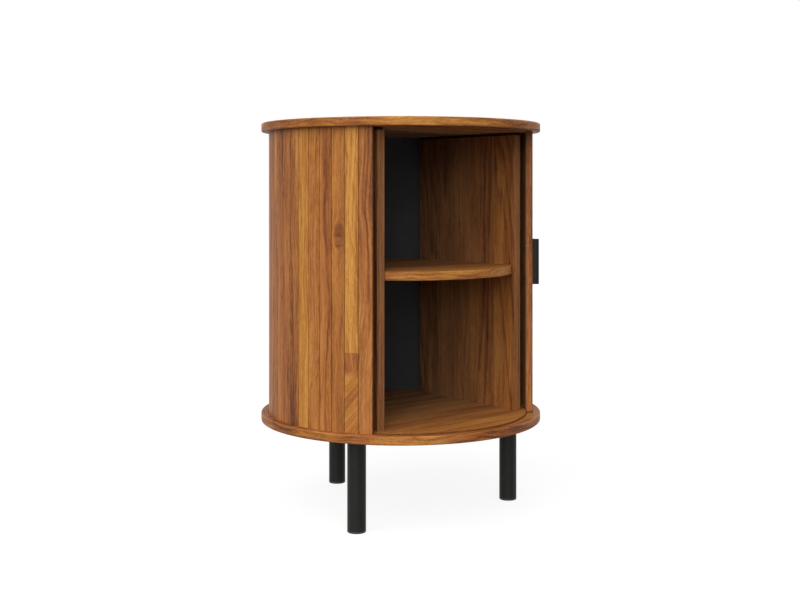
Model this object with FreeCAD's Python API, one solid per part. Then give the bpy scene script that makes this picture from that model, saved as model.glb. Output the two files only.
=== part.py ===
import FreeCAD, Part
import math
import os

# Round side cabinet on three legs. Millimetres and degrees, +Z up, the floor at z = 0.
# The origin is on the floor under the centre of the drum, and the doorway faces -Y.
# A bearing is an angle about the drum's axis from -Y, growing towards +X.

# Round boards at the top and the bottom of the drum
disc_radius = 200.0
base_thickness = 12.0
top_thickness = 12.0
disc_edge_round = 1.8
base_underside = 124.5
drum_height = 398.0

# Slats of the sliding door and of the fixed wall
disc_overhang = 10.8
slat_thickness = 8.8
slat_edge_bevel = 0.7
slat_joint_gap = 0.25
door_slat_count = 31
wall_slat_count = 14
wall_front_bearing = -49.45
door_edge_bearing = 46.6
door_tail_angle = 0.7
groove_depth = 3.0
groove_side_clearance = 0.5
door_end_clearance = 0.4
closing_gap = 0.4

# Cloth that joins the slats on their inner face
canvas_thickness = 0.5
canvas_gap = 0.05
canvas_end_margin = 1.6
canvas_side_margin = 1.0

# Inner box: two upright side panels, a bent back liner and one shelf
panel_thickness = 12.0
panel_edge_round = 0.8
box_inset = 8.4
panel_corner_bearing = 48.6
liner_inset = 9.4
liner_thickness = 3.0
liner_slot_depth = 2.0
liner_slot_clearance = 0.15
liner_panel_clearance = 0.15
liner_overlap_angle = 4.0
shelf_thickness = 12.0
shelf_top_height = 344.7
shelf_setback = 12.7
shelf_side_clearance = 0.2
shelf_back_clearance = 0.5

# Spacers that leave a shadow gap between the side panels and the top
spacer_thickness = 4.0
spacer_setback = 1.5

# Wooden dowels
dowel_radius = 3.0
dowel_side_clearance = 0.05
dowel_end_gap = 0.4
dowel_depth_in_disc = 7.0
dowel_depth_in_panel_end = 15.0
dowel_depth_in_panel_face = 8.0
dowel_depth_in_shelf = 16.0
panel_dowel_edge_distance = 32.0
shelf_dowel_half_spacing = 52.0

# Legs, their mounting plates and glides
leg_front_bearing = 60.0
leg_back_bearing = 180.0
leg_radius = 12.5
leg_wall = 1.5
leg_top_wall = 3.0
leg_inset = 41.6
leg_stud_radius = 4.0
leg_stud_length = 9.5
leg_stud_clearance = 0.2
plate_radius = 28.0
plate_thickness = 2.5
plate_edge_bevel = 0.5
plate_screw_count = 4
plate_screw_circle = 20.5
plate_screw_radius = 1.8
plate_screw_depth = 7.5
plate_screw_head_radius = 3.6
plate_screw_head_height = 1.9
glide_height = 3.0
glide_edge_round = 1.2
glide_plug_height = 8.0
glide_plug_clearance = 0.1

# Pull on the first slat of the door
pull_height = 65.0
pull_middle_height = 349.4
pull_reach = 9.4
pull_plate_width = 14.0
pull_plate_thickness = 2.4
pull_fin_thickness = 2.4
pull_fin_offset = 3.6
pull_bead_radius = 1.9
pull_edge_round = 0.4
pull_screw_half_spacing = 22.0
pull_screw_offset = 2.4
pull_screw_radius = 1.4
pull_screw_hole_clearance = 0.1
pull_screw_grip = 2.0
pull_screw_head_radius = 2.8
pull_screw_head_height = 1.5
pull_screw_head_clearance = 0.15

# Rounded rim and cross recess of every screw head, as shares of the head's height or radius
head_round_share = 0.5
recess_depth_share = 0.6
recess_span_share = 0.6
recess_width_share = 0.14

# One overrun for every cut
cut_overrun = 1.0

# Holes for the dowels
dowel_hole_radius = dowel_radius + dowel_side_clearance

# Heights of the faces that carry the rest
base_top = base_underside + base_thickness
top_underside = base_top + drum_height
panel_top = top_underside - spacer_thickness

# Radii of the slat ring; the flats are measured at the middle of a slat
slat_outer_flat = disc_radius - disc_overhang
slat_inner_flat = slat_outer_flat - slat_thickness
doorway_angle = door_edge_bearing - wall_front_bearing
slat_pitch = (360.0 - doorway_angle - door_tail_angle) / (door_slat_count + wall_slat_count)
slat_corner_radius = slat_outer_flat / math.cos(math.radians(slat_pitch / 2))
groove_inner_radius = slat_inner_flat - groove_side_clearance
groove_outer_radius = slat_corner_radius + groove_side_clearance
canvas_outer_radius = slat_inner_flat - canvas_gap
canvas_inner_radius = canvas_outer_radius - canvas_thickness
canvas_bottom = base_top + canvas_end_margin
canvas_top = top_underside - canvas_end_margin
pull_screw_seat = canvas_inner_radius - pull_screw_head_clearance
pull_screw_length = slat_outer_flat + pull_screw_grip - pull_screw_seat

# Plan of the inner box
box_radius = slat_inner_flat - box_inset
panel_corner_angle = math.radians(panel_corner_bearing)
panel_outer_x = box_radius * math.sin(panel_corner_angle)
panel_inner_x = panel_outer_x - panel_thickness
panel_front_y = -box_radius * math.cos(panel_corner_angle)
liner_inner_radius = box_radius - liner_inset
panel_back_radius = liner_inner_radius - liner_panel_clearance
panel_back_y = math.sqrt(panel_back_radius ** 2 - panel_outer_x ** 2)
liner_end_bearing = math.degrees(math.atan2(panel_outer_x, -panel_back_y)) - liner_overlap_angle

# Legs
leg_bearings = {"front_left": -leg_front_bearing, "front_right": leg_front_bearing, "back": leg_back_bearing}
leg_circle_radius = disc_radius - leg_inset
leg_top = base_underside - plate_thickness


def at_bearing(radius, bearing, z):
    """The point at a radius and a bearing about the drum's axis."""
    angle = math.radians(bearing)
    return FreeCAD.Vector(radius * math.sin(angle), -radius * math.cos(angle), z)


def turned(shape, bearing):
    """A copy of a shape made at bearing 0, carried round the drum's axis to a bearing."""
    copy = shape.copy()
    copy.rotate(FreeCAD.Vector(0, 0, 0), FreeCAD.Vector(0, 0, 1), bearing)
    return copy


def upright_cylinder(radius, bottom, top, centre=FreeCAD.Vector(0, 0, 0)):
    """An upright cylinder between two heights about a plan position."""
    foot = FreeCAD.Vector(centre.x, centre.y, bottom)
    return Part.makeCylinder(radius, top - bottom, foot)


def ring(inner_radius, outer_radius, bottom, top):
    """A full ring about the drum's axis."""
    hole = upright_cylinder(inner_radius, bottom - cut_overrun, top + cut_overrun)
    return upright_cylinder(outer_radius, bottom, top).cut(hole)


def prism(points, bottom, top):
    """A plan outline of straight sides raised between two heights."""
    corners = [FreeCAD.Vector(x, y, bottom) for x, y in points]
    face = Part.Face(Part.makePolygon(corners + corners[:1]))
    return face.extrude(FreeCAD.Vector(0, 0, top - bottom))


def arc_band(inner_radius, outer_radius, start, end, bottom, top):
    """Part of a ring between two bearings, raised between two heights."""
    middle = (start + end) / 2
    outer = Part.Arc(
        at_bearing(outer_radius, start, bottom),
        at_bearing(outer_radius, middle, bottom),
        at_bearing(outer_radius, end, bottom),
    )
    inner = Part.Arc(
        at_bearing(inner_radius, end, bottom),
        at_bearing(inner_radius, middle, bottom),
        at_bearing(inner_radius, start, bottom),
    )
    first_end = Part.LineSegment(outer.EndPoint, inner.StartPoint)
    second_end = Part.LineSegment(inner.EndPoint, outer.StartPoint)
    edges = [curve.toShape() for curve in (outer, first_end, inner, second_end)]
    return Part.Face(Part.Wire(edges)).extrude(FreeCAD.Vector(0, 0, top - bottom))


def is_round(edge):
    """Whether an edge is a circle or part of one."""
    return edge.Curve.TypeId == "Part::GeomCircle"


def full_rims(shape):
    """The full circles among a shape's edges."""
    return [edge for edge in shape.Edges if is_round(edge) and len(edge.Vertexes) == 1]


def lower_rims(shape, below):
    """The full circles of a shape that lie below a height."""
    return [edge for edge in full_rims(shape) if edge.CenterOfMass.z < below - shape.BoundBox.ZLength / 2]


def rounded_disc(radius, bottom, top, edge_round):
    """A round board with both rims rounded."""
    disc = upright_cylinder(radius, bottom, top)
    return disc.makeFillet(edge_round, full_rims(disc))


def rounded_uprights(shape, edge_round, wanted):
    """Rounds the upright straight edges whose middle passes a test."""
    edges = []
    for edge in shape.Edges:
        low = edge.BoundBox
        if low.ZLength > low.XLength + low.YLength and wanted(edge.CenterOfMass):
            edges.append(edge)
    return shape.makeFillet(edge_round, edges)


def group(shapes):
    """Several identical pieces that share one node as separate solids."""
    return Part.makeCompound(shapes)


def panel_dowel_places():
    """Plan positions of the dowels in the ends of both side panels."""
    x = (panel_inner_x + panel_outer_x) / 2
    front_y = panel_front_y + panel_dowel_edge_distance
    back_y = panel_back_y - panel_dowel_edge_distance
    return [FreeCAD.Vector(side * x, y, 0) for side in (-1, 1) for y in (front_y, back_y)]


def lower_dowels(radius, end_gap):
    """Dowels, or their holes, between the base and the side panels."""
    low = base_top - dowel_depth_in_disc + end_gap
    high = base_top + dowel_depth_in_panel_end - end_gap
    return [upright_cylinder(radius, low, high, place) for place in panel_dowel_places()]


def upper_dowels(radius, end_gap):
    """Dowels, or their holes, between the side panels and the top, through the spacers."""
    low = panel_top - dowel_depth_in_panel_end + end_gap
    high = top_underside + dowel_depth_in_disc - end_gap
    return [upright_cylinder(radius, low, high, place) for place in panel_dowel_places()]


def shelf_dowels(radius, end_gap):
    """Dowels, or their holes, between the shelf's ends and the side panels."""
    z = shelf_top_height - shelf_thickness / 2
    shelf_end = panel_inner_x - shelf_side_clearance
    start = shelf_end - dowel_depth_in_shelf + end_gap
    length = panel_inner_x + dowel_depth_in_panel_face - end_gap - start
    shapes = []
    for side in (-1, 1):
        for y in (-shelf_dowel_half_spacing, shelf_dowel_half_spacing):
            foot = FreeCAD.Vector(side * start, y, z)
            shapes.append(Part.makeCylinder(radius, length, foot, FreeCAD.Vector(side, 0, 0)))
    return shapes


def liner_slot(bottom, top):
    """Curved slot that holds an edge of the back liner."""
    inner = liner_inner_radius - liner_slot_clearance
    outer = liner_inner_radius + liner_thickness + liner_slot_clearance
    extra = math.degrees(liner_slot_clearance / liner_inner_radius)
    start = liner_end_bearing - extra
    return arc_band(inner, outer, start, 360.0 - start, bottom, top)


def leg_centre(bearing):
    """Plan position of a leg."""
    return at_bearing(leg_circle_radius, bearing, 0)


def plate_screw_places(bearing):
    """Plan positions of the screws of one leg's mounting plate."""
    centre = leg_centre(bearing)
    first = bearing + 180.0 / plate_screw_count
    step = 360.0 / plate_screw_count
    return [centre + at_bearing(plate_screw_circle, first + i * step, 0) for i in range(plate_screw_count)]


def make_base_panel():
    """Lower round board: door groove, liner slot, dowel holes and holes for the legs."""
    board = rounded_disc(disc_radius, base_underside, base_top, disc_edge_round)
    cuts = [ring(groove_inner_radius, groove_outer_radius, base_top - groove_depth, base_top + cut_overrun)]
    cuts.append(liner_slot(base_top - liner_slot_depth, base_top + cut_overrun))
    cuts.extend(lower_dowels(dowel_hole_radius, 0))
    below = base_underside - cut_overrun
    stud_hole = leg_stud_radius + leg_stud_clearance
    stud_hole_top = leg_top + leg_stud_length + leg_stud_clearance
    screw_hole_top = base_underside + plate_screw_depth
    for bearing in leg_bearings.values():
        cuts.append(upright_cylinder(stud_hole, below, stud_hole_top, leg_centre(bearing)))
        for place in plate_screw_places(bearing):
            cuts.append(upright_cylinder(plate_screw_radius, below, screw_hole_top, place))
    return board.cut(cuts)


def make_top_panel():
    """Upper round board: door groove, liner slot and dowel holes in its underside."""
    board = rounded_disc(disc_radius, top_underside, top_underside + top_thickness, disc_edge_round)
    groove_top = top_underside + groove_depth
    cuts = [ring(groove_inner_radius, groove_outer_radius, top_underside - cut_overrun, groove_top)]
    cuts.append(liner_slot(top_underside - cut_overrun, top_underside + liner_slot_depth))
    cuts.extend(upper_dowels(dowel_hole_radius, 0))
    return board.cut(cuts)


def make_top_spacer(side):
    """Thin strip on a side panel's top end, set back behind its inner and front faces."""
    inner, outer = side * (panel_inner_x + spacer_setback), side * panel_outer_x
    front_y = panel_front_y + spacer_setback
    outline = [(inner, front_y), (outer, front_y), (outer, panel_back_y), (inner, panel_back_y)]
    return prism(outline, panel_top, top_underside).cut(upper_dowels(dowel_hole_radius, 0))


def make_side_panel(side):
    """Upright side panel of the inner box; side is -1 for the left and 1 for the right."""
    inner, outer = side * panel_inner_x, side * panel_outer_x
    outline = [(inner, panel_front_y), (outer, panel_front_y), (outer, panel_back_y), (inner, panel_back_y)]
    panel = prism(outline, base_top, panel_top)
    panel = rounded_uprights(panel, panel_edge_round, lambda middle: middle.y < 0)
    holes = [make(dowel_hole_radius, 0) for make in (lower_dowels, upper_dowels, shelf_dowels)]
    return panel.cut(sum(holes, []))


def make_back_liner():
    """Thin bent sheet behind the side panels, held in slots at its top and bottom."""
    outer = liner_inner_radius + liner_thickness
    bottom = base_top - liner_slot_depth + liner_slot_clearance
    top = top_underside + liner_slot_depth - liner_slot_clearance
    return arc_band(liner_inner_radius, outer, liner_end_bearing, 360.0 - liner_end_bearing, bottom, top)


def make_shelf():
    """Shelf with straight ends, a front edge that follows the drum and a back that follows the liner."""
    bottom = shelf_top_height - shelf_thickness
    half_width = panel_inner_x - shelf_side_clearance
    front_radius = box_radius - shelf_setback
    back_radius = liner_inner_radius - shelf_back_clearance
    front_y = -math.sqrt(front_radius ** 2 - half_width ** 2)
    back_y = math.sqrt(back_radius ** 2 - half_width ** 2)
    front = Part.Arc(
        FreeCAD.Vector(-half_width, front_y, bottom),
        FreeCAD.Vector(0, -front_radius, bottom),
        FreeCAD.Vector(half_width, front_y, bottom),
    )
    back = Part.Arc(
        FreeCAD.Vector(half_width, back_y, bottom),
        FreeCAD.Vector(0, back_radius, bottom),
        FreeCAD.Vector(-half_width, back_y, bottom),
    )
    right_end = Part.LineSegment(front.EndPoint, back.StartPoint)
    left_end = Part.LineSegment(back.EndPoint, front.StartPoint)
    edges = [curve.toShape() for curve in (front, right_end, back, left_end)]
    shelf = Part.Face(Part.Wire(edges)).extrude(FreeCAD.Vector(0, 0, shelf_thickness))
    front_rims = [edge for edge in shelf.Edges if is_round(edge) and edge.CenterOfMass.y < 0]
    return shelf.makeFillet(panel_edge_round, front_rims).cut(shelf_dowels(dowel_hole_radius, 0))


def make_slat(end_clearance):
    """One slat at bearing 0: flat faces, radial sides, bevelled outer edges and ends held in the grooves."""
    bottom = base_top - groove_depth + end_clearance
    top = top_underside + groove_depth - end_clearance
    spread = math.tan(math.radians(slat_pitch / 2))

    def half_width(distance):
        return distance * spread - slat_joint_gap / 2

    shoulder = slat_outer_flat - slat_edge_bevel
    right = [
        (half_width(slat_inner_flat), -slat_inner_flat),
        (half_width(shoulder), -shoulder),
        (half_width(slat_outer_flat) - slat_edge_bevel, -slat_outer_flat),
    ]
    left = [(-x, y) for x, y in reversed(right)]
    return prism(right + left, bottom, top)


def slat_bearing(first_edge, number):
    """Bearing of the middle of a slat, counted from 0 at an edge of its run."""
    return first_edge + (number + 0.5) * slat_pitch


def make_screw(shank_radius, length, head_radius, head_height):
    """A screw that points along +Z from its seat at z = 0, with a cross recess in its rounded head."""
    head = upright_cylinder(head_radius, -head_height, 0)
    head = head.makeFillet(head_round_share * head_height, lower_rims(head, 0))
    x = recess_span_share * head_radius
    y = recess_width_share * head_radius
    recess_floor = -head_height + recess_depth_share * head_height
    arm = prism([(-x, -y), (x, -y), (x, y), (-x, y)], -head_height - cut_overrun, recess_floor)
    shank = upright_cylinder(shank_radius, 0, length)
    return head.cut([arm, turned(arm, 90.0)]).fuse(shank).removeSplitter()


def pull_screw_feet():
    """Middles of the seats of the pull's screws at bearing 0."""
    heights = (pull_middle_height - pull_screw_half_spacing, pull_middle_height + pull_screw_half_spacing)
    return [FreeCAD.Vector(pull_screw_offset, -pull_screw_seat, z) for z in heights]


def pull_screw_holes(radius):
    """Holes for the pull's screws at bearing 0."""
    outward = FreeCAD.Vector(0, -1, 0)
    return [Part.makeCylinder(radius, pull_screw_length, foot, outward) for foot in pull_screw_feet()]


def make_pull_screws():
    """Screws of the pull at bearing 0, with their heads behind the cloth."""
    screws = []
    head_radius, head_height = pull_screw_head_radius, pull_screw_head_height
    for foot in pull_screw_feet():
        screw = make_screw(pull_screw_radius, pull_screw_length, head_radius, head_height)
        screw.rotate(FreeCAD.Vector(0, 0, 0), FreeCAD.Vector(1, 0, 0), 90.0)
        screw.translate(foot)
        screws.append(screw)
    return screws


def make_pull():
    """Pull at bearing 0: a plate on the slat, a fin that stands out of it and a bead along the fin."""
    bottom = pull_middle_height - pull_height / 2
    top = pull_middle_height + pull_height / 2
    face = -slat_outer_flat
    half_plate = pull_plate_width / 2
    plate_front = face - pull_plate_thickness
    plate = prism(
        [(-half_plate, face), (half_plate, face), (half_plate, plate_front), (-half_plate, plate_front)],
        bottom, top,
    )
    bead_y = face - pull_reach + pull_bead_radius
    fin_left = -pull_fin_offset - pull_fin_thickness / 2
    fin_right = -pull_fin_offset + pull_fin_thickness / 2
    fin = prism(
        [(fin_left, face), (fin_right, face), (fin_right, bead_y), (fin_left, bead_y)],
        bottom, top,
    )
    bead = upright_cylinder(pull_bead_radius, bottom, top, FreeCAD.Vector(-pull_fin_offset, bead_y, 0))
    pull = plate.fuse([fin, bead]).removeSplitter()

    def on_plate_front(middle):
        at_side = abs(abs(middle.x) - half_plate) < pull_edge_round
        return at_side and middle.y < plate_front + pull_edge_round

    pull = rounded_uprights(pull, pull_edge_round, on_plate_front)
    return pull.cut(pull_screw_holes(pull_screw_radius))


def make_leg(bearing):
    """Round tube leg with a closed top and the stud that screws into its mounting plate."""
    centre = leg_centre(bearing)
    tube = upright_cylinder(leg_radius, glide_height, leg_top, centre)
    bore_radius = leg_radius - leg_wall
    bore = upright_cylinder(bore_radius, glide_height - cut_overrun, leg_top - leg_top_wall, centre)
    stud = upright_cylinder(leg_stud_radius, leg_top - leg_top_wall, leg_top + leg_stud_length, centre)
    return tube.cut(bore).fuse(stud).removeSplitter()


def make_glide(bearing):
    """Plastic glide under a leg: a foot with a rounded rim and a plug that fills the tube."""
    centre = leg_centre(bearing)
    foot = upright_cylinder(leg_radius, 0, glide_height, centre)
    foot = foot.makeFillet(glide_edge_round, lower_rims(foot, glide_height))
    plug_radius = leg_radius - leg_wall - glide_plug_clearance
    plug = upright_cylinder(plug_radius, glide_height, glide_height + glide_plug_height, centre)
    return foot.fuse(plug).removeSplitter()


def make_leg_plate(bearing):
    """Round steel mounting plate between a leg and the base, drilled for its stud and screws."""
    centre = leg_centre(bearing)
    plate = upright_cylinder(plate_radius, leg_top, base_underside, centre)
    plate = plate.makeChamfer(plate_edge_bevel, lower_rims(plate, base_underside))
    low, high = leg_top - cut_overrun, base_underside + cut_overrun
    holes = [upright_cylinder(leg_stud_radius + leg_stud_clearance, low, high, centre)]
    for place in plate_screw_places(bearing):
        holes.append(upright_cylinder(plate_screw_radius, low, high, place))
    return plate.cut(holes)


def make_leg_screws(bearing):
    """Screws of one mounting plate, with their heads under it."""
    length = base_underside + plate_screw_depth - leg_top
    screws = []
    for place in plate_screw_places(bearing):
        screw = make_screw(plate_screw_radius, length, plate_screw_head_radius, plate_screw_head_height)
        screw.translate(FreeCAD.Vector(place.x, place.y, leg_top))
        screws.append(screw)
    return screws


def make_canvas(first_edge, last_edge):
    """Cloth behind a run of slats, a little short of the run at each end."""
    margin = math.degrees(canvas_side_margin / canvas_outer_radius)
    start = first_edge + margin
    end = last_edge - margin
    return arc_band(canvas_inner_radius, canvas_outer_radius, start, end, canvas_bottom, canvas_top)


def make_door():
    """The sliding door, open: numbered slats, their cloth, the pull and its screws."""
    nodes = {}
    slat = make_slat(door_end_clearance)
    first_edge = door_edge_bearing
    last_edge = first_edge + door_slat_count * slat_pitch
    lead_bearing = slat_bearing(first_edge, 0)
    hole_radius = pull_screw_radius + pull_screw_hole_clearance
    holes = [turned(hole, lead_bearing) for hole in pull_screw_holes(hole_radius)]
    for number in range(door_slat_count):
        placed = turned(slat, slat_bearing(first_edge, number))
        if number == 0:
            placed = placed.cut(holes)
        nodes["door_slat_%02d" % (number + 1)] = placed
    nodes["door_canvas"] = make_canvas(first_edge, last_edge).cut(holes)
    nodes["door_pull"] = turned(make_pull(), lead_bearing)
    nodes["pull_screws"] = group([turned(screw, lead_bearing) for screw in make_pull_screws()])
    return nodes


def make_wall():
    """The fixed slatted wall, which runs back from the left edge of the doorway."""
    last_edge = wall_front_bearing
    first_edge = last_edge - wall_slat_count * slat_pitch
    slat = make_slat(0)
    slats = [turned(slat, slat_bearing(first_edge, number)) for number in range(wall_slat_count)]
    return {"wall_slats": group(slats), "wall_canvas": make_canvas(first_edge, last_edge)}


def make_legs():
    """Three legs, each with its plate, glide and screws."""
    nodes = {}
    plates, screws = [], []
    for name, bearing in leg_bearings.items():
        nodes["leg_" + name] = make_leg(bearing)
        nodes["glide_" + name] = make_glide(bearing)
        plates.append(make_leg_plate(bearing))
        screws.extend(make_leg_screws(bearing))
    nodes["leg_plates"] = group(plates)
    nodes["leg_screws"] = group(screws)
    return nodes


def make_part():
    """Every node of the cabinet by name."""
    nodes = {
        "base_panel": make_base_panel(),
        "top_panel": make_top_panel(),
        "top_spacers": group([make_top_spacer(-1), make_top_spacer(1)]),
        "side_panel_left": make_side_panel(-1),
        "side_panel_right": make_side_panel(1),
        "back_liner": make_back_liner(),
        "shelf": make_shelf(),
        "shelf_dowels": group(shelf_dowels(dowel_radius, dowel_end_gap)),
    }
    panel_dowels = lower_dowels(dowel_radius, dowel_end_gap) + upper_dowels(dowel_radius, dowel_end_gap)
    nodes["panel_dowels"] = group(panel_dowels)
    nodes.update(make_wall())
    nodes.update(make_legs())
    nodes.update(make_door())
    return nodes


os.makedirs("parts", exist_ok=True)
for node_name, node_shape in make_part().items():
    node_shape.exportStep("parts/%s.step" % node_name)

print("slat pitch %.3f degrees" % slat_pitch)
closing_angle = doorway_angle - math.degrees(closing_gap / slat_outer_flat)
print("door travel from open to closed %.2f degrees" % closing_angle)
print("side panels: y %.2f to %.2f, inner faces at x %.2f" % (panel_front_y, panel_back_y, panel_inner_x))
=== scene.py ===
"""Round drum cabinet with a sliding slatted door: finishes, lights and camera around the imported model."""

import math
from collections import namedtuple

import bpy
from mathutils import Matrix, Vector


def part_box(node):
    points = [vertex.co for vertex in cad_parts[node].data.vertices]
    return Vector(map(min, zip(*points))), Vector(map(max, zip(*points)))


MM = 0.001
MICROMETRE_DIGITS = 6


def corners(node):
    """The lowest and the highest corner of a CAD node, to the nearest micrometre."""
    return [[round(value, MICROMETRE_DIGITS) for value in corner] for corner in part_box(node)]


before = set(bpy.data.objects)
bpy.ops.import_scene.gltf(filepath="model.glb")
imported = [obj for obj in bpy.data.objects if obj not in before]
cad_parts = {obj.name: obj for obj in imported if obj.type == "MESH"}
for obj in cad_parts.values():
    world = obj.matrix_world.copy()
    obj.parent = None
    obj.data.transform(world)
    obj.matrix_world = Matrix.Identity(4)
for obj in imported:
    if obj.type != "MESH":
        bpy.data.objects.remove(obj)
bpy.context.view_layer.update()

# The picture's frame, and the camera fitted to it
IMAGE_WIDTH = 800
IMAGE_HEIGHT = 600
FOCAL_PX = 1203.6
AXIS_COLUMN_PX = 400.75
HORIZON_ROW_PX = 190.83
CAMERA_BEARING = math.radians(-38.4)
CAMERA_DISTANCE = 1738.4 * MM
CAMERA_HEIGHT = 450.7 * MM
CAMERA_REACH = 50.0
SENSOR_WIDTH_MM = 36.0

# Two lamps far away: where their light comes from, the angle it is softened over, and its strength
Sun = namedtuple("Sun", "name bearing elevation softness strength")
SUNS = (
    Sun("key", math.radians(-61.0), math.radians(38.0), math.radians(85.0), 2.5),
    Sun("fill", math.radians(-45.0), math.radians(12.0), math.radians(18.0), 0.32),
)

# The room: the world's even light and its white, and the floor's grey, its glow towards the camera and
# how far it reaches
WORLD_LIGHT = 0.28
WHITE = (1.0, 1.0, 1.0, 1.0)
FLOOR_GREY = (0.22, 0.22, 0.22, 1.0)
FLOOR_GLOW = 0.88
FLOOR_HALF_SIZE = 12.0

# The boards and panels where the frame has them
LOW, HIGH = range(2)
X, Y, Z = range(3)
DISC_RADIUS = corners("base_panel")[HIGH][X]
BASE_TOP = corners("base_panel")[HIGH][Z]
TOP_UNDERSIDE = corners("top_panel")[LOW][Z]
TOP_FACE = corners("top_panel")[HIGH][Z]
SHELF_UNDERSIDE = corners("shelf")[LOW][Z]
SHELF_FACE = corners("shelf")[HIGH][Z]
PANEL_FRONT_Y = corners("side_panel_left")[LOW][Y]
PANEL_OUTER_X = corners("side_panel_right")[HIGH][X]

# The drum, in the sizes it is built to. Bearings are angles about its axis from -Y, growing towards +X
DOOR_EDGE_BEARING = math.radians(46.6)
WALL_BACK_BEARING = math.radians(-131.35)
WALL_FRONT_BEARING = math.radians(-49.45)
SLAT_PITCH = math.radians(5.85)
SLAT_FACE_RADIUS = 189.2 * MM
SLAT_WIDTH = SLAT_PITCH * SLAT_FACE_RADIUS
GROOVE_DEPTH = 3.0 * MM
GROOVE_INNER_RADIUS = 179.9 * MM
GROOVE_OUTER_RADIUS = 189.94 * MM
SHELF_FRONT_RADIUS = 159.3 * MM

# Noise stays between these values nearly everywhere
NOISE_EDGES = (0.3, 0.7)

# The Mix node's sockets for numbers and for colours, by place, because their names are the same
MIX_NUMBERS = (2, 3)
MIX_NUMBER_RESULT = 0
MIX_COLOURS = (6, 7)
MIX_COLOUR_RESULT = 2


class Net:
    """Builds the nodes of a material or a world. Values are numbers, tuples or output sockets."""

    def __init__(self, owner):
        owner.use_nodes = True
        self.owner = owner
        self.tree = owner.node_tree
        self.tree.nodes.clear()

    def node(self, kind, **settings):
        """A new node with its settings."""
        node = self.tree.nodes.new(kind)
        for key, value in settings.items():
            setattr(node, key, value)
        return node

    def feed(self, socket, value):
        """Links an output to an input, or sets the input to a constant."""
        if isinstance(value, bpy.types.NodeSocket):
            self.tree.links.new(value, socket)
        else:
            socket.default_value = value

    def math(self, operation, *values):
        node = self.node("ShaderNodeMath", operation=operation)
        for socket, value in zip(node.inputs, values):
            self.feed(socket, value)
        return node.outputs[0]

    def add(self, a, b):
        return self.math("ADD", a, b)

    def sub(self, a, b):
        return self.math("SUBTRACT", a, b)

    def mul(self, a, b):
        return self.math("MULTIPLY", a, b)

    def near(self, value, target, reach):
        """1 where a value is within reach of the target."""
        return self.math("COMPARE", value, target, reach)

    def same(self, number, whole):
        """1 where one whole number is the same as another."""
        return self.near(number, whole, 0.5)

    def between(self, value, low, high):
        """1 between two limits."""
        return self.mul(self.math("GREATER_THAN", value, low), self.math("LESS_THAN", value, high))

    def remap(self, value, low, high, to_low=0.0, to_high=1.0, smooth=True):
        """A value moved from one range to another, and held at the ends. smooth eases it in and out."""
        node = self.node("ShaderNodeMapRange")
        node.interpolation_type = "SMOOTHSTEP" if smooth else "LINEAR"
        for name, number in (("From Min", low), ("From Max", high), ("To Min", to_low), ("To Max", to_high)):
            self.feed(node.inputs[name], number)
        self.feed(node.inputs["Value"], value)
        return node.outputs["Result"]

    def spread(self, noise, low, high):
        """A number that runs from low to high over the noise's usual range."""
        return self.remap(noise, *NOISE_EDGES, low, high, smooth=False)

    def vector(self, x, y, z):
        node = self.node("ShaderNodeCombineXYZ")
        for socket, value in zip(node.inputs, (x, y, z)):
            self.feed(socket, value)
        return node.outputs[0]

    def object_point(self):
        """The x, y and z of the place being shaded, in the object's own frame."""
        node = self.node("ShaderNodeSeparateXYZ")
        self.feed(node.inputs[0], self.node("ShaderNodeTexCoord").outputs["Object"])
        return node.outputs[0], node.outputs[1], node.outputs[2]

    def noise(self, vector, detail=2.0, roughness=0.5):
        node = self.node("ShaderNodeTexNoise", noise_dimensions="3D")
        self.feed(node.inputs["Vector"], vector)
        node.inputs["Scale"].default_value = 1.0
        node.inputs["Detail"].default_value = detail
        node.inputs["Roughness"].default_value = roughness
        return node.outputs["Fac"]

    def fibres(self, scales, detail):
        """Noise with its own scale along x, y and z, in waves per metre."""
        return self.noise(self.vector(*map(self.mul, self.object_point(), scales)), detail)

    def speckle(self, scale, detail=2.0):
        """Noise with one scale in all directions, in waves per metre."""
        return self.fibres((scale, scale, scale), detail)

    def chance(self, number):
        """A steady random value from 0 to 1 for each value of number."""
        node = self.node("ShaderNodeTexWhiteNoise", noise_dimensions="1D")
        self.feed(node.inputs["W"], number)
        return node.outputs["Value"]

    def ramp(self, value, places, colours):
        """Colours at places from 0 to 1, in linear light."""
        node = self.node("ShaderNodeValToRGB")
        elements = node.color_ramp.elements
        while len(elements) < len(colours):
            elements.new(1.0)
        for element, place, colour in zip(elements, places, colours):
            element.position = place
            element.color = (*colour, 1.0)
        self.feed(node.inputs["Fac"], value)
        return node.outputs["Color"]

    def mix(self, share, a, b, blend="MIX"):
        """One colour blended into another."""
        node = self.node("ShaderNodeMix", data_type="RGBA", blend_type=blend)
        self.feed(node.inputs["Factor"], share)
        for index, value in zip(MIX_COLOURS, (a, b)):
            self.feed(node.inputs[index], (*value, 1.0) if isinstance(value, tuple) else value)
        return node.outputs[MIX_COLOUR_RESULT]

    def blend(self, share, a, b):
        """One number blended into another."""
        node = self.node("ShaderNodeMix", data_type="FLOAT")
        self.feed(node.inputs["Factor"], share)
        for index, value in zip(MIX_NUMBERS, (a, b)):
            self.feed(node.inputs[index], value)
        return node.outputs[MIX_NUMBER_RESULT]

    def blend_all(self, share, group, other):
        """Each number of a group blended with its fellow in another group."""
        return [self.blend(share, a, b) for a, b in zip(group, other)]

    def bump(self, height, distance, strength):
        node = self.node("ShaderNodeBump")
        node.inputs["Strength"].default_value = strength
        node.inputs["Distance"].default_value = distance
        self.feed(node.inputs["Height"], height)
        return node.outputs["Normal"]

    def output(self, kind, shader):
        """Ends the net with its output node."""
        node = self.node(kind)
        self.feed(node.inputs["Surface"], shader)

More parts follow.
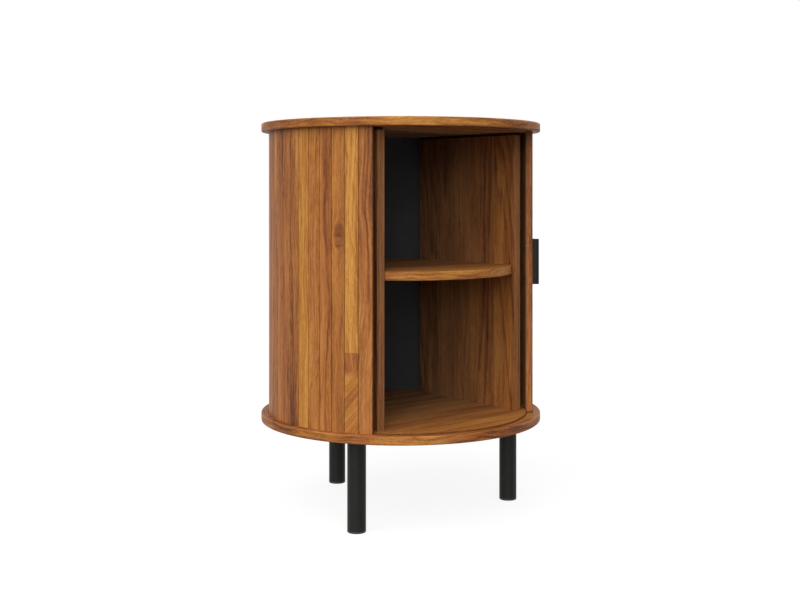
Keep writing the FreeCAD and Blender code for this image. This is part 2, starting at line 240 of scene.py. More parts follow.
    def surface(self, **inputs):
        """Ends a material with its shader, and returns the material."""
        shader = self.node("ShaderNodeBsdfPrincipled")
        for name, value in inputs.items():
            self.feed(shader.inputs[name.replace("_", " ")], value)
        self.output("ShaderNodeOutputMaterial", shader.outputs[0])
        return self.owner


def material_net(name):
    """An empty net of a new material."""
    return Net(bpy.data.materials.new(name))


# Walnut veneer's colours from dark to pale, in reddish and in golden wood. A place is all reddish below
# the first of GOLDEN_EDGES and all golden above the second, and golden wood is a little paler
TONES = (0.0, 0.32, 0.62, 1.0)
REDS = ((0.096, 0.029, 0.010), (0.226, 0.071, 0.021), (0.380, 0.127, 0.032), (0.505, 0.196, 0.054))
GOLDS = ((0.180, 0.059, 0.014), (0.362, 0.129, 0.026), (0.522, 0.211, 0.038), (0.680, 0.330, 0.075))
GOLDEN_EDGES = (0.15, 0.95)
GOLDEN_PALER = 0.10
PORE_BROWN = (0.060, 0.020, 0.008)
PORE_SHARE = 0.45
# This brown darkens the dark seams, and is also painted shade in the groove, at the door slats' feet, on the
# wall's front end and on the panels' hidden faces
STAIN_AND_SHADE_BROWN = (0.030, 0.014, 0.007)
STAIN_AND_SHADE_SHARE = 0.85

# Painted shade: deep inside the cabinet the veneer is painted cooler and darker, standing in for the dimmer,
# redder light there, and the underside of the top is painted greyer still. The change runs between these
# places along y
DEEP_SHADE_TINT = (0.74, 1.00, 1.58)
CEILING_SHADE_TINT = (1.20, 2.35, 5.80)
DEEP_START = -170.0 * MM
DEEP_END = 60.0 * MM

# The veneer's relief, and its roughness where fibres are low and high and in the pores
RELIEF = 0.05 * MM
RELIEF_STRENGTH = 0.5
FIBRE_RELIEF = 0.5
SMOOTH_FIBRE = 0.44
ROUGH_FIBRE = 0.56
PORE_ROUGHER = 0.12
WOOD_GLOSS = 0.15

# A place in a board, in metres: across and depth run over the fibres, and along runs with them
Place = namedtuple("Place", "across depth along")

# Layers of noise in the wood: waves per metre across the grain and along it, how many finer waves lie on
# them, and how strong those are
Waves = namedtuple("Waves", "across along detail roughness")
WANDER = Waves(11.0, 5.0, 1.0, 0.5)
RIPPLE = Waves(55.0, 30.0, 2.0, 0.5)
UNEVEN_YEARS = Waves(60.0, 4.0, 2.0, 0.5)
BROAD = Waves(24.0, 2.6, 2.0, 0.5)
STREAKS = Waves(90.0, 3.5, 3.0, 0.6)
LINES = Waves(330.0, 6.0, 3.0, 0.65)
FIBRE = Waves(1100.0, 28.0, 3.0, 0.65)
FLECKS = Waves(700.0, 75.0, 2.0, 0.6)
PORES = Waves(2600.0, 140.0, 1.0, 0.5)
PATCHES = Waves(30.0, 4.0, 3.0, 0.6)

# What every board shares: how far apart two boards lie in the noise, how far their lines wander, how
# uneven their years are, what their fine layers weigh, the tone they all start from, and the noise where
# a pore begins and where it is full
BOARD_SPACING = 3.7
WANDER_WIDTH = 22.0 * MM
YEARS_UNEVEN = 1.6
LINES_WEIGHT = 0.90
FIBRE_WEIGHT = 0.60
FLECKS_WEIGHT = 0.45
MIDDLE_TONE = 0.63
PORE_EDGES = (0.10, 0.22)

# The trunk's pith behind a board: the width that it lies within, its least and greatest depth, and the
# numbers that keep its three random draws apart
PITH_ASIDE = 90.0 * MM
PITH_NEAREST = 12.0 * MM
PITH_FARTHEST = 50.0 * MM
ASIDE_DRAW = 1000.0
LEAN_DRAW = 2000.0
BACK_DRAW = 3000.0

# A year's ring: the shares of its width where it starts to darken and where it is darkest, the least that
# a year darkens, how steeply the face has to cut a ring that shows in full, and the share of the others
LATE_START = 0.25
LATE_PEAK = 0.90
FAINTEST_YEAR = 0.15
STEEP_CUT = 0.6
FLAT_CUT_SHARE = 0.5

# How a board's grain looks. ring_width, ripple and lean shape the year rings, ring_depth is how dark
# they are, shorten squeezes the figure along the grain, broad, streaks and fine weigh its wide and
# fine streaks, and patchy is how much red and golden wood change places
Figure = namedtuple("Figure", "ring_width ring_depth ripple lean shorten broad streaks fine patchy")
SLAT_FIGURE = Figure(
    ring_width=4.2 * MM, ring_depth=0.24, ripple=3.6 * MM, lean=0.30, shorten=1.25,
    broad=0.55, streaks=1.00, fine=1.55, patchy=1.2,
)
REAR_SLAT_FIGURE = SLAT_FIGURE._replace(broad=0.95, streaks=1.70, fine=1.90)
PANEL_FIGURE = Figure(
    ring_width=7.0 * MM, ring_depth=0.34, ripple=3.0 * MM, lean=0.24, shorten=1.3,
    broad=0.50, streaks=0.60, fine=1.15, patchy=0.5,
)
BOARD_FIGURE = Figure(
    ring_width=8.0 * MM, ring_depth=0.24, ripple=2.0 * MM, lean=0.05, shorten=0.8,
    broad=0.75, streaks=1.35, fine=1.50, patchy=0.9,
)
RIM_FIGURE = Figure(
    ring_width=5.0 * MM, ring_depth=0.30, ripple=2.0 * MM, lean=0.10, shorten=3.0,
    broad=1.15, streaks=1.15, fine=1.60, patchy=2.2,
)

# Planks glued edge to edge: where each starts across the board, how golden it is, and how much paler.
# EDGE is at or before every board's own edge
Plank = namedtuple("Plank", "start golden paler")
EDGE = -DISC_RADIUS
BASE_PLANKS = (
    Plank(EDGE, 0.50, 0.04),
    Plank(-131.0 * MM, 0.34, 0.17),
    Plank(-56.0 * MM, 0.38, 0.04),
    Plank(22.0 * MM, 0.40, -0.15),
    Plank(101.0 * MM, 0.30, -0.14),
)
TOP_PLANKS = (
    Plank(EDGE, 0.35, -0.02),
    Plank(-124.0 * MM, 0.60, 0.03),
    Plank(-43.0 * MM, 0.30, -0.04),
    Plank(38.0 * MM, 0.55, 0.02),
    Plank(117.0 * MM, 0.40, -0.02),
)
SHELF_PLANKS = (
    Plank(EDGE, 0.45, 0.0),
    Plank(-70.0 * MM, 0.30, -0.05),
    Plank(8.0 * MM, 0.40, -0.08),
)
# The side panels' planks are darker, the back one most: partly their own tone, partly painted shade inside
# the cabinet
SIDE_PLANKS = (
    Plank(EDGE, 0.48, -0.14),
    Plank(-72.0 * MM, 0.34, -0.09),
    Plank(50.0 * MM, 0.35, -0.20),
)

# The round boards and the shelf: the planks on their faces, the band round their rims, and their faces
# inside the cabinet, with the heights of those, the tint of painted shade they take, and how much darker
# they are painted as shade
Band = namedtuple("Band", "seed golden paler")
Inside = namedtuple("Inside", "heights tint darker")
Board = namedtuple("Board", "seed planks rim_radius band top_face inside")
TOP = Board(
    seed=402,
    planks=TOP_PLANKS,
    rim_radius=DISC_RADIUS,
    band=Band(seed=1648, golden=0.34, paler=0.11),
    top_face=TOP_FACE,
    # The top's underside is painted darker and greyer as shade
    inside=Inside(heights=(TOP_UNDERSIDE,), tint=CEILING_SHADE_TINT, darker=0.07),
)
BASE = Board(
    seed=5818,
    planks=BASE_PLANKS,
    rim_radius=DISC_RADIUS,
    band=Band(seed=2582, golden=0.28, paler=0.0),
    top_face=BASE_TOP,
    inside=Inside(heights=(BASE_TOP,), tint=DEEP_SHADE_TINT, darker=0.0),
)
SHELF = Board(
    seed=440,
    planks=SHELF_PLANKS,
    rim_radius=SHELF_FRONT_RADIUS,
    band=Band(seed=4532, golden=0.32, paler=0.08),
    top_face=SHELF_FACE,
    inside=Inside(heights=(SHELF_UNDERSIDE, SHELF_FACE), tint=DEEP_SHADE_TINT, darker=0.0),
)

# What these boards share: their grain's direction from +X, how much its figure is widened, the bands'
# thickness, the arris round the upper rim that carries a painted highlight, its palest part and how much
# paler it is painted, and how far from a face's height still counts as the face
BOARD_GRAIN = math.radians(2.0)
BOARD_BOLDNESS = 1.7
BAND_THICKNESS = 1.0 * MM
ARRIS = 1.8 * MM
HIGHLIGHT_CORE = 0.3 * ARRIS
HIGHLIGHT_PALER = 0.12
FACE_REACH = 0.3 * MM

# The ring of a board's face outside the groove, and the widths of painted shade lines down in the groove
OUTSIDE_REDDER = 0.22
OUTSIDE_DARKER = 0.05
INNER_LINE = 1.2 * MM
OUTER_LINE = 1.4 * MM
LINE_OVERLAP = 0.1 * MM
GROOVE_SHADE = 0.7

# The side panels: steps in board number that part left from right and the front bands from both, the
# bands' depth and colour, the share of painted shade tint the bands take, and the painted shade on the
# hidden outer faces
SIDE_SEED = 4641
SIDE_BOARD_STEP = 20.0
SIDE_BAND_STEP = 10.0
SIDE_BAND_DEPTH = 0.6 * MM
SIDE_BAND_GOLDEN = 0.0
SIDE_BAND_PALER = 0.01
SIDE_BAND_SHADE = 0.5
OUTER_FACE_DEPTH = 0.1 * MM
OUTER_FACE_SHADE = 0.4

# The slats, the dark seams between them, how far up the door slats' lower ends are painted dark as
# shadow in the groove, and the angle that the painted shade on the wall's front end covers
DOOR_SEED = 500
WALL_SEED = 22842
SEAM_DEPTH = 0.9 * MM
SEAM_CORE = 0.2 * SEAM_DEPTH
SEAM_STAIN = 0.34
FOOT_SHADE_HEIGHT = 1.5 * MM
FRONT_END_SHADE_ANGLE = math.radians(0.06)

# The fixed wall's slats are counted from 0 at its back. The rear ones are bolder, and two others are paler
REAR_SLATS = 8
REAR_BOARD_STEP = 448
REAR_SEAM_GAIN = 1.6
PALER_SLATS = ((8, 0.05), (10, 0.07))

# The slat glued up of two lengths. The lower one is redder above SLOPE_START, and its grain runs aslant
# below it
SPLICED_SLAT = 12
SPLICE_HEIGHT = 240.6 * MM
SPLICE_BOARD_STEP = 61
SPLICED_RING_DEPTH = 0.12
SLOPE_START = 218.0 * MM
SLOPE = 0.8
REDDISH_STRETCH = 12.0 * MM
REDDISH_SHARE = 0.5

# The knot, longer along the grain than across it. Its parts fade out over distances in its radii
KNOT_SLAT = 11
KNOT_HEIGHT = 392.0 * MM
KNOT_ASIDE = 1.8 * MM
KNOT_RADIUS = 8.5 * MM
KNOT_LENGTHENED = 2.0
KNOT_WAVES = Waves(130.0, 65.0, 2.0, 0.5)
KNOT_UNEVEN = 0.8
KNOT_RING_RATE = 7.0
KNOT_BARK_START = 0.75
Fade = namedtuple("Fade", "start end strength")
KNOT_HEART = Fade(0.0, 1.3, 0.44)
KNOT_RINGS = Fade(0.3, 2.4, 0.10)
KNOT_BARK = Fade(0.95, 1.3, 0.09)


def waves(net, place, shift, layer):
    """A layer of noise stretched along the grain and centred on 0."""
    point = net.vector(
        net.mul(place.across, layer.across),
        net.add(net.mul(place.depth, layer.across), shift),
        net.mul(place.along, layer.along),
    )
    return net.sub(net.noise(point, layer.detail, layer.roughness), 0.5)


def shortened(net, place, figure):
    """The place with the figure squeezed along the grain."""
    return place._replace(along=net.mul(place.along, figure.shorten))


def late_wood(net, place, shift, number, figure):
    """How dark the year rings are at a place of a board, from 0 to 1.

    The board is sawn from a trunk whose pith lies behind its face and leans a little. Each year's ring
    darkens slowly and ends in a sharp line. Some years are fainter, and so are rings that the face cuts
    at a low angle, which show as wide bands.
    """
    pith_aside = net.mul(net.sub(net.chance(net.add(number, ASIDE_DRAW)), 0.5), PITH_ASIDE)
    pith_lean = net.mul(net.sub(net.chance(net.add(number, LEAN_DRAW)), 0.5), figure.lean)
    back_draw = net.chance(net.add(number, BACK_DRAW))
    pith_back = net.remap(back_draw, 0.0, 1.0, PITH_NEAREST, PITH_FARTHEST, smooth=False)
    aside = net.sub(place.across, pith_aside)
    back = net.add(net.add(place.depth, pith_back), net.mul(place.along, pith_lean))
    from_pith = net.math("SQRT", net.add(net.mul(aside, aside), net.mul(back, back)))

    uneven = net.mul(waves(net, place, shift, UNEVEN_YEARS), YEARS_UNEVEN)
    years = net.add(net.math("DIVIDE", from_pith, figure.ring_width), uneven)
    year = net.math("FLOOR", years)
    season = net.sub(years, year)
    late = net.sub(net.remap(season, LATE_START, LATE_PEAK), net.remap(season, LATE_PEAK, 1.0))
    strength = net.mul(net.chance(net.add(year, number)), 1.0 - FAINTEST_YEAR)
    late = net.mul(late, net.add(strength, FAINTEST_YEAR))
    steepness = net.math("DIVIDE", net.math("ABSOLUTE", aside), from_pith)
    return net.mul(late, net.remap(steepness, 0.0, STEEP_CUT, FLAT_CUT_SHARE, 1.0))


def grain(net, place, number, figure):
    """Tone from dark 0 to pale 1, pore mask and fibre height of wood at a place of a board.

    number is a whole number that is different for each board, so that no two boards match.
    """
    shift = net.mul(number, BOARD_SPACING)
    place = shortened(net, place, figure)
    wander = net.mul(waves(net, place, shift, WANDER), WANDER_WIDTH)
    ripple = net.mul(waves(net, place, shift, RIPPLE), figure.ripple)
    place = place._replace(across=net.add(net.add(place.across, wander), ripple))

    late = late_wood(net, place, shift, number, figure)
    broad = net.mul(waves(net, place, shift, BROAD), figure.broad)
    streaks = net.mul(waves(net, place, shift, STREAKS), figure.streaks)
    lines = net.mul(waves(net, place, shift, LINES), LINES_WEIGHT)
    fibre = waves(net, place, shift, FIBRE)
    flecks = net.mul(waves(net, place, shift, FLECKS), FLECKS_WEIGHT)
    fine = net.add(net.add(lines, net.mul(fibre, FIBRE_WEIGHT)), flecks)

    tone = net.sub(MIDDLE_TONE, net.mul(late, figure.ring_depth))
    tone = net.add(net.add(tone, broad), net.add(streaks, net.mul(fine, figure.fine)))
    pore_mask = net.remap(waves(net, place, shift, PORES), *PORE_EDGES)
    return tone, pore_mask, net.add(fibre, 0.5)


def part_round_knot(net, place, knot):
    """Grain lines that part round a knot as a stream does round a stone, and the distance from it in radii.

    knot is where its centre lies across the board.
    """
    aside = net.sub(place.across, knot)
    wide = net.math("DIVIDE", aside, KNOT_RADIUS)
    high = net.math("DIVIDE", net.sub(place.along, KNOT_HEIGHT), KNOT_RADIUS * KNOT_LENGTHENED)
    square = net.add(net.mul(wide, wide), net.mul(high, high))
    blocked = net.math("DIVIDE", 1.0, net.math("MAXIMUM", square, 1.0))
    parted = net.add(knot, net.mul(aside, net.sub(1.0, blocked)))
    return place._replace(across=parted), net.math("SQRT", square)


def fade_out(net, away, fade):
    """A fade's strength up to its start, and 0 from its end on."""
    return net.remap(away, fade.start, fade.end, fade.strength, 0.0)


def darken_knot(net, tone, away, place):
    """Darkens a knot's heart and draws its rings. away is the distance from its centre in radii."""
    scaled = (net.mul(place.across, KNOT_WAVES.across), 0.0, net.mul(place.along, KNOT_WAVES.along))
    noise = net.noise(net.vector(*scaled), KNOT_WAVES.detail, KNOT_WAVES.roughness)
    away = net.add(away, net.mul(net.sub(noise, 0.5), KNOT_UNEVEN))
    rings = net.mul(net.math("SINE", net.mul(away, KNOT_RING_RATE)), fade_out(net, away, KNOT_RINGS))
    heart = fade_out(net, away, KNOT_HEART)
    bark = net.mul(net.remap(away, KNOT_BARK_START, KNOT_BARK.start), fade_out(net, away, KNOT_BARK))
    return net.add(net.sub(net.sub(tone, heart), bark), rings)


def walnut(net, place, number, figure, golden, stain_and_shade, paler=0.0, knot=None, shade_depth=None, tint=DEEP_SHADE_TINT):
    """Satin lacquered walnut at a place of the board that has the number.

    golden and paler set the board's colour, the stain mask marks dark seams and places painted dark as
    shade, knot is where a knot lies across the board, and the depth argument is how far inside the cabinet
    the place is, from 0 to 1, which brings in the tint of painted shade.
    """
    if knot is None:
        tone, pore_mask, fibre = grain(net, place, number, figure)
    else:
        parted, away = part_round_knot(net, place, knot)
        tone, pore_mask, fibre = grain(net, parted, number, figure)
        tone = darken_knot(net, tone, away, place)

    patches = waves(net, shortened(net, place, figure), net.mul(number, BOARD_SPACING), PATCHES)
    golden = net.remap(net.add(golden, net.mul(patches, figure.patchy)), *GOLDEN_EDGES)
    tone = net.add(net.add(tone, paler), net.mul(net.sub(golden, 0.5), GOLDEN_PALER))
    colour = net.mix(golden, net.ramp(tone, TONES, REDS), net.ramp(tone, TONES, GOLDS))
    colour = net.mix(net.mul(pore_mask, PORE_SHARE), colour, PORE_BROWN)
    # Painted shade: cooler and darker deeper inside the cabinet
    if shade_depth is not None:
        colour = net.mix(shade_depth, colour, tint, "MULTIPLY")
    # Dark seams, and painted shade where the mask says so
    colour = net.mix(net.mul(stain_and_shade, STAIN_AND_SHADE_SHARE), colour, STAIN_AND_SHADE_BROWN)

    height = net.sub(net.mul(fibre, FIBRE_RELIEF), pore_mask)
    rough = net.spread(fibre, SMOOTH_FIBRE, ROUGH_FIBRE)
    return net.surface(
        Base_Color=colour,
        Roughness=net.add(rough, net.mul(pore_mask, PORE_ROUGHER)),
        Normal=net.bump(height, RELIEF, RELIEF_STRENGTH),
        Specular_IOR_Level=WOOD_GLOSS,
    )


def glued_planks(net, across, planks, seed):
    """Board number, golden and paler at a place across planks glued edge to edge."""
    number, golden, paler = seed, planks[0].golden, planks[0].paler
    for plank in planks[1:]:
        past = net.math("GREATER_THAN", across, plank.start)
        number = net.add(number, past)
        golden = net.blend(past, golden, plank.golden)
        paler = net.blend(past, paler, plank.paler)
    return number, golden, paler


def drum_bearing(net, x, y):
    """Bearing about the drum's axis."""
    return net.math("ARCTAN2", x, net.mul(y, -1.0))


def drum_radius(net, x, y):
    """Distance from the drum's axis."""
    return net.math("SQRT", net.add(net.mul(x, x), net.mul(y, y)))


def slat_place(net, first_edge):
    """Slat number from the start of the run, the place in that slat, its bearing, and the seams' stain.

    Lacquer and dust darken the bevels where slats meet.
    """
    x, y, z = net.object_point()
    bearing = net.math("WRAP", drum_bearing(net, x, y), first_edge + 2 * math.pi, first_edge)
    slats = net.math("DIVIDE", net.sub(bearing, first_edge), SLAT_PITCH)
    slat = net.math("FLOOR", slats)
    aside = net.mul(net.sub(net.sub(slats, slat), 0.5), SLAT_WIDTH)
    depth = net.sub(SLAT_FACE_RADIUS, drum_radius(net, x, y))
    seam_start = SLAT_WIDTH / 2 - SEAM_DEPTH
    seam_core = SLAT_WIDTH / 2 - SEAM_CORE
    seam = net.remap(net.math("ABSOLUTE", aside), seam_start, seam_core, 0.0, SEAM_STAIN)
    seam = net.mul(seam, net.math("LESS_THAN", depth, SEAM_DEPTH))
    return slat, Place(aside, depth, z), bearing, seam


def door_slat_walnut(name):
    """Upright grain that starts afresh on each slat of the door, whose lower ends are painted dark as
    shadow.
    """
    net = material_net(name)
    slat, place, _, seam = slat_place(net, DOOR_EDGE_BEARING)
    number = net.add(slat, DOOR_SEED)
    # Painted shadow at the slats' feet, down in the groove
    foot_shade = net.math("LESS_THAN", place.along, BASE_TOP - GROOVE_DEPTH + FOOT_SHADE_HEIGHT)
    stain_and_shade = net.math("MAXIMUM", foot_shade, seam)
    return walnut(net, place, number, SLAT_FIGURE, net.chance(number), stain_and_shade)


def wall_slat_walnut(name):
    """Upright grain on each slat of the fixed wall, with its knot and splice, and a front end painted dark
    as shade.
    """
    net = material_net(name)
    slat, place, bearing, seam = slat_place(net, WALL_BACK_BEARING)
    height = place.along
    spliced = net.mul(net.same(slat, SPLICED_SLAT), net.math("LESS_THAN", height, SPLICE_HEIGHT))
    at_rear = net.math("LESS_THAN", slat, REAR_SLATS)
    number = net.add(net.add(slat, WALL_SEED), net.mul(spliced, SPLICE_BOARD_STEP))
    number = net.add(number, net.mul(at_rear, REAR_BOARD_STEP))

    slope = net.math("MAXIMUM", net.sub(SLOPE_START, height), 0.0)
    slanted = net.mul(net.mul(slope, spliced), SLOPE)
    place = place._replace(across=net.add(place.across, slanted))
    # The knot moves a metre aside for each slat away from its own
    elsewhere = net.math("ABSOLUTE", net.sub(slat, KNOT_SLAT))
    knot = net.add(elsewhere, KNOT_ASIDE)
    ring_depth = net.blend(spliced, SLAT_FIGURE.ring_depth, SPLICED_RING_DEPTH)
    figure = Figure(*net.blend_all(at_rear, SLAT_FIGURE, REAR_SLAT_FIGURE))._replace(ring_depth=ring_depth)

    reddish = net.remap(height, SLOPE_START - REDDISH_STRETCH, SLOPE_START, 0.0, REDDISH_SHARE)
    golden = net.sub(net.chance(number), net.mul(spliced, reddish))
    paler = 0.0
    for index, amount in PALER_SLATS:
        paler = net.add(paler, net.mul(net.same(slat, index), amount))
    # Painted shade on the end face of the wall's front slat, where light hardly reaches
    front_end_shade = net.math("GREATER_THAN", bearing, WALL_FRONT_BEARING - FRONT_END_SHADE_ANGLE)
    seam = net.mul(seam, net.blend(at_rear, 1.0, REAR_SEAM_GAIN))
    stain_and_shade = net.math("MAXIMUM", front_end_shade, seam)
    return walnut(net, place, number, figure, golden, stain_and_shade, paler, knot)


def upright_walnut(name):
    """Upright planks on the side panels, whose front edges carry a band of their own.

    Their outer faces, hidden behind the slats, are painted darker as shade, and the front bands take part
    of the painted shade tint.
    """
    net = material_net(name)
    x, y, z = net.object_point()
    on_band = net.math("LESS_THAN", y, PANEL_FRONT_Y + SIDE_BAND_DEPTH)
    number, golden, paler = glued_planks(net, y, SIDE_PLANKS, SIDE_SEED)
    number = net.add(number, net.mul(net.math("SIGN", x), SIDE_BOARD_STEP))
    number = net.add(number, net.mul(on_band, SIDE_BAND_STEP))
    place = Place(net.blend(on_band, y, x), x, z)
    golden = net.blend(on_band, golden, SIDE_BAND_GOLDEN)
    paler = net.blend(on_band, paler, SIDE_BAND_PALER)
    # The front bands take part of the painted shade tint
    shade_depth = net.add(net.remap(y, DEEP_START, DEEP_END), net.mul(on_band, SIDE_BAND_SHADE))
    # Painted shade on the hidden outer faces
    hidden_face_shade = net.math("GREATER_THAN", net.math("ABSOLUTE", x), PANEL_OUTER_X - OUTER_FACE_DEPTH)
    stain_and_shade = net.mul(hidden_face_shade, OUTER_FACE_SHADE)
    return walnut(net, place, number, PANEL_FIGURE, golden, stain_and_shade, paler, shade_depth=shade_depth)


def turned(net, x, y, angle):
    """Coordinates along and across a level direction at an angle from +X."""
    cosine = math.cos(angle)
    sine = math.sin(angle)
    along = net.add(net.mul(x, cosine), net.mul(y, sine))
    across = net.sub(net.mul(y, cosine), net.mul(x, sine))
    return along, across


def groove_shade_lines(net, radius, bearing, z):
    """Painted shade: dark lines where the slats stand in the groove.

    The inner one runs right round, and the outer one is left out of the doorway.
    """
    inner = net.between(radius, GROOVE_INNER_RADIUS - LINE_OVERLAP, GROOVE_INNER_RADIUS + INNER_LINE)
    outer = net.between(radius, GROOVE_OUTER_RADIUS - OUTER_LINE, GROOVE_OUTER_RADIUS + LINE_OVERLAP)
    left_of_doorway = net.math("LESS_THAN", bearing, WALL_FRONT_BEARING)
    right_of_doorway = net.math("GREATER_THAN", bearing, DOOR_EDGE_BEARING)
    lines = net.add(inner, net.mul(outer, net.add(left_of_doorway, right_of_doorway)))
    sunk = net.between(z, BASE_TOP - GROOVE_DEPTH - FACE_REACH, BASE_TOP - FACE_REACH)
    return net.mul(net.mul(lines, sunk), GROOVE_SHADE)


def board_walnut(name, board):
    """Level planks on a board's faces, and a band of its own round its curved rim.

    The rim's upper arris is painted paler as a highlight, the face outside the groove is redder, and the
    faces inside and the groove take painted shade.
    """
    net = material_net(name)
    x, y, z = net.object_point()
    radius = drum_radius(net, x, y)
    bearing = drum_bearing(net, x, y)
    along, across = turned(net, x, y, BOARD_GRAIN)
    on_band = net.math("GREATER_THAN", radius, board.rim_radius - BAND_THICKNESS)
    plank = glued_planks(net, across, board.planks, board.seed)
    number, golden, paler = net.blend_all(on_band, plank, board.band)
    face_place = Place(net.math("DIVIDE", across, BOARD_BOLDNESS), z, along)
    band_place = Place(z, radius, net.mul(bearing, board.rim_radius))
    place = Place(*net.blend_all(on_band, face_place, band_place))
    figure = Figure(*net.blend_all(on_band, BOARD_FIGURE, RIM_FIGURE))

    # Painted highlight along the rim's upper arris
    at_rim = net.math("GREATER_THAN", radius, board.rim_radius - ARRIS)
    painted_highlight = net.mul(at_rim, net.remap(z, board.top_face - ARRIS, board.top_face - HIGHLIGHT_CORE))
    paler = net.add(paler, net.mul(painted_highlight, HIGHLIGHT_PALER))

    within = net.math("LESS_THAN", radius, GROOVE_INNER_RADIUS)
    on_face = 0.0
    for height in board.inside.heights:
        on_face = net.add(on_face, net.near(z, height, FACE_REACH))
    on_face = net.mul(on_face, net.sub(1.0, on_band))
    outside_groove = net.mul(on_face, net.sub(1.0, within))
    golden = net.sub(golden, net.mul(outside_groove, OUTSIDE_REDDER))
    # The ring outside the groove is darker in tone; the inside faces' darker share is painted shade
    darker = net.add(net.mul(outside_groove, OUTSIDE_DARKER), net.mul(on_face, board.inside.darker))
    paler = net.sub(paler, darker)
    shade_depth = net.mul(net.mul(on_face, within), net.remap(y, DEEP_START, DEEP_END))
    # Painted shade in the groove
    stain_and_shade = groove_shade_lines(net, radius, bearing, z)
    return walnut(net, place, number, figure, golden, stain_and_shade, paler, shade_depth=shade_depth, tint=board.inside.tint)


def beech(name):
    """Raw turned dowels."""
    net = material_net(name)
    fibre = net.fibres((900.0, 900.0, 60.0), detail=3.0)
    return net.surface(
        Base_Color=net.ramp(fibre, (0.25, 0.75), ((0.46, 0.29, 0.15), (0.66, 0.47, 0.28))),
        Roughness=0.7,
        Normal=net.bump(fibre, distance=0.05 * MM, strength=0.4),
    )


def black_laminate(name):
    """Matt black sheet with a faint pebbled skin and slight cloudiness."""
    net = material_net(name)
    pebble = net.speckle(1400.0)
    cloud = net.speckle(12.0)
    return net.surface(
        Base_Color=net.ramp(cloud, NOISE_EDGES, ((0.0290, 0.0306, 0.0334), (0.0395, 0.0415, 0.0450))),
        Roughness=net.spread(pebble, 0.50, 0.62),
        Normal=net.bump(pebble, distance=0.03 * MM, strength=0.5),
        Specular_IOR_Level=0.2,
    )


# The cloth's threads, and how high its weave and its fuzz stand
THREAD_SPACING = 0.8 * MM
WEAVE_HEIGHT = 0.5
FUZZ_HEIGHT = 0.6


def brown_canvas(name):
    """Plain-woven cloth: threads run up the cloth and round the drum."""
    net = material_net(name)
    x, y, z = net.object_point()
    thread = 2 * math.pi / THREAD_SPACING
    warp = net.math("SINE", net.mul(net.mul(drum_bearing(net, x, y), SLAT_FACE_RADIUS), thread))
    weft = net.math("SINE", net.mul(z, thread))
    weave = net.mul(warp, weft)
    fuzz = net.speckle(2500.0)
    height = net.add(net.mul(weave, WEAVE_HEIGHT), net.mul(fuzz, FUZZ_HEIGHT))
    return net.surface(
        Base_Color=net.ramp(height, (0.0, 1.0), ((0.365, 0.178, 0.070), (0.580, 0.310, 0.132))),
        Roughness=0.9,
        Normal=net.bump(height, distance=0.12 * MM, strength=0.7),
        Specular_IOR_Level=0.05,
    )


def black_metal(name, shade):
    """Satin powder coat with fine orange peel. shade scales how pale it is."""
    net = material_net(name)
    peel = net.speckle(900.0)
    cloud = net.speckle(40.0)
    colours = ((0.0120, 0.0124, 0.0102), (0.0162, 0.0166, 0.0138))
    shaded = [[shade * value for value in colour] for colour in colours]
    return net.surface(
        Base_Color=net.ramp(cloud, NOISE_EDGES, shaded),
        Roughness=net.spread(peel, 0.42, 0.52),
        Normal=net.bump(peel, distance=0.02 * MM, strength=0.5),
        Specular_IOR_Level=0.15,
    )


def black_plastic(name):
    """Moulded matt plastic."""
    net = material_net(name)
    grit = net.speckle(2200.0)
    return net.surface(
        Base_Color=net.ramp(grit, NOISE_EDGES, ((0.010, 0.010, 0.010), (0.017, 0.017, 0.017))),
        Roughness=0.6,
        Normal=net.bump(grit, distance=0.03 * MM, strength=0.6),
    )


def shadow_gap_strip(name):
    """Thin wood strips under the top, coloured nearly black as painted shade so that they read as a shadow
    gap.
    """
    net = material_net(name)
    fibre = net.fibres((800.0, 30.0, 800.0), detail=3.0)
    return net.surface(
        Base_Color=net.ramp(fibre, NOISE_EDGES, ((0.026, 0.015, 0.007), (0.048, 0.028, 0.013))),
        Roughness=0.75,
        Normal=net.bump(fibre, distance=0.05 * MM, strength=0.4),
        Specular_IOR_Level=0.05,
    )


def zinc(name):
    """Mottled zinc plating."""
    net = material_net(name)
    mottle = net.speckle(700.0, detail=3.0)
    return net.surface(
        Base_Color=net.ramp(mottle, NOISE_EDGES, ((0.50, 0.50, 0.50), (0.64, 0.64, 0.62))),
        Metallic=1.0,
        Roughness=net.spread(mottle, 0.28, 0.42),
    )


def nodes_named(start):
    """The CAD nodes whose names begin like this, in order."""
    return sorted(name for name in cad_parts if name.startswith(start))


def assign(names, material):
    """Gives every slot of the named nodes one material."""
    for name in names:
        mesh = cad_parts[name].data
        if not mesh.materials:
            mesh.materials.append(material)
        for i in range(len(mesh.materials)):
            mesh.materials[i] = material


def dress():
    """Puts a finish on every CAD node."""
    legs = nodes_named("leg_")
    legs.remove("leg_screws")
    assign(["top_panel"], board_walnut("walnut_top", TOP))
    assign(["base_panel"], board_walnut("walnut_base", BASE))
    assign(["shelf"], board_walnut("walnut_shelf", SHELF))
    assign(nodes_named("side_panel_"), upright_walnut("walnut_side"))
    assign(["wall_slats"], wall_slat_walnut("walnut_wall_slats"))
    assign(nodes_named("door_slat_"), door_slat_walnut("walnut_door_slats"))
    assign(["back_liner"], black_laminate("black_laminate"))
    assign(["wall_canvas", "door_canvas"], brown_canvas("brown_canvas"))
    assign(legs, black_metal("black_powder_coat", 1.0))
    assign(["door_pull"], black_metal("black_pull", 0.7))
    # The spacers under the top are coloured dark as painted shade
    assign(["top_spacers"], shadow_gap_strip("shadow_gap_strip"))
    assign(nodes_named("glide_"), black_plastic("black_plastic"))
    assign(["leg_screws"], zinc("zinc_plate"))
    assign(["pull_screws"], black_plastic("black_oxide"))
    assign(["shelf_dowels", "panel_dowels"], beech("beech"))


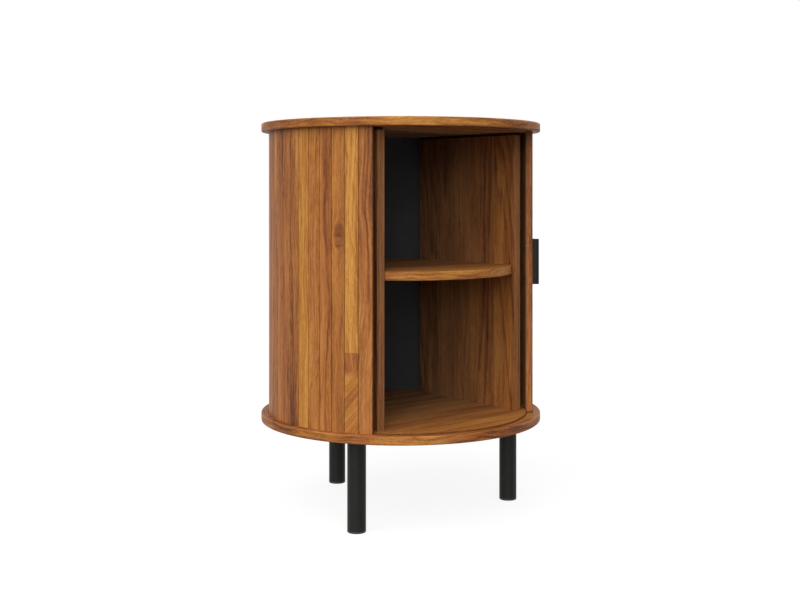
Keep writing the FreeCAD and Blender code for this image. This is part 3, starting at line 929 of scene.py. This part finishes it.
def add_object(name, data):
    """A new object in the scene."""
    thing = bpy.data.objects.new(name, data)
    bpy.context.scene.collection.objects.link(thing)
    return thing


def bearing_vector(bearing):
    """The level direction at a bearing from the drum's axis."""
    return Vector((math.sin(bearing), -math.cos(bearing), 0.0))


def facing(direction):
    """The turn that points a camera or a lamp in a direction."""
    return direction.to_track_quat("-Z", "Y").to_euler()


def make_camera():
    """Level camera that keeps upright lines upright, shifted to frame the cabinet."""
    data = bpy.data.cameras.new("camera")
    data.sensor_width = SENSOR_WIDTH_MM
    data.lens = FOCAL_PX / IMAGE_WIDTH * SENSOR_WIDTH_MM
    data.shift_x = (IMAGE_WIDTH / 2 - AXIS_COLUMN_PX) / IMAGE_WIDTH
    data.shift_y = (HORIZON_ROW_PX - IMAGE_HEIGHT / 2) / IMAGE_WIDTH
    data.clip_end = CAMERA_REACH
    camera = add_object("camera", data)
    place = bearing_vector(CAMERA_BEARING) * CAMERA_DISTANCE
    camera.location = (place.x, place.y, CAMERA_HEIGHT)
    camera.rotation_euler = facing(-place)
    bpy.context.scene.camera = camera


def make_suns():
    """Even light from far away."""
    for sun in SUNS:
        data = bpy.data.lights.new(sun.name, "SUN")
        data.angle = sun.softness
        data.energy = sun.strength
        level = bearing_vector(sun.bearing) * math.cos(sun.elevation)
        towards = Vector((level.x, level.y, math.sin(sun.elevation)))
        lamp = add_object(sun.name, data)
        lamp.rotation_euler = facing(-towards)


def camera_share(net):
    """1 for rays that show the backdrop: straight from the camera, or seen in gloss or through glass."""
    path = net.node("ShaderNodeLightPath")
    share = net.math("MAXIMUM", path.outputs["Is Camera Ray"], path.outputs["Is Glossy Ray"])
    return net.math("MAXIMUM", share, path.outputs["Is Transmission Ray"])


def make_floor():
    """Pale floor that reads as white and still takes the cabinet's shadow."""
    net = material_net("pale_floor")
    diffuse = net.node("ShaderNodeBsdfDiffuse")
    diffuse.inputs["Color"].default_value = FLOOR_GREY
    glow = net.node("ShaderNodeEmission")
    net.feed(glow.inputs["Strength"], net.mul(camera_share(net), FLOOR_GLOW))
    both = net.node("ShaderNodeAddShader")
    net.feed(both.inputs[0], diffuse.outputs[0])
    net.feed(both.inputs[1], glow.outputs[0])
    net.output("ShaderNodeOutputMaterial", both.outputs[0])
    half = FLOOR_HALF_SIZE
    square = [(-half, -half, 0.0), (half, -half, 0.0), (half, half, 0.0), (-half, half, 0.0)]
    mesh = bpy.data.meshes.new("floor")
    mesh.from_pydata(square, [], [(0, 1, 2, 3)])
    mesh.materials.append(net.owner)
    add_object("floor", mesh)


def make_world():
    """Dim even light for the cabinet, and white where the camera sees past it."""
    world = bpy.data.worlds.new("studio")
    bpy.context.scene.world = world
    net = Net(world)
    background = net.node("ShaderNodeBackground")
    background.inputs["Color"].default_value = WHITE
    strength = net.remap(camera_share(net), 0.0, 1.0, WORLD_LIGHT, 1.0, smooth=False)
    net.feed(background.inputs["Strength"], strength)
    net.output("ShaderNodeOutputWorld", background.outputs[0])


bpy.context.scene.view_settings.view_transform = "Standard"
dress()
make_floor()
make_world()
make_suns()
make_camera()
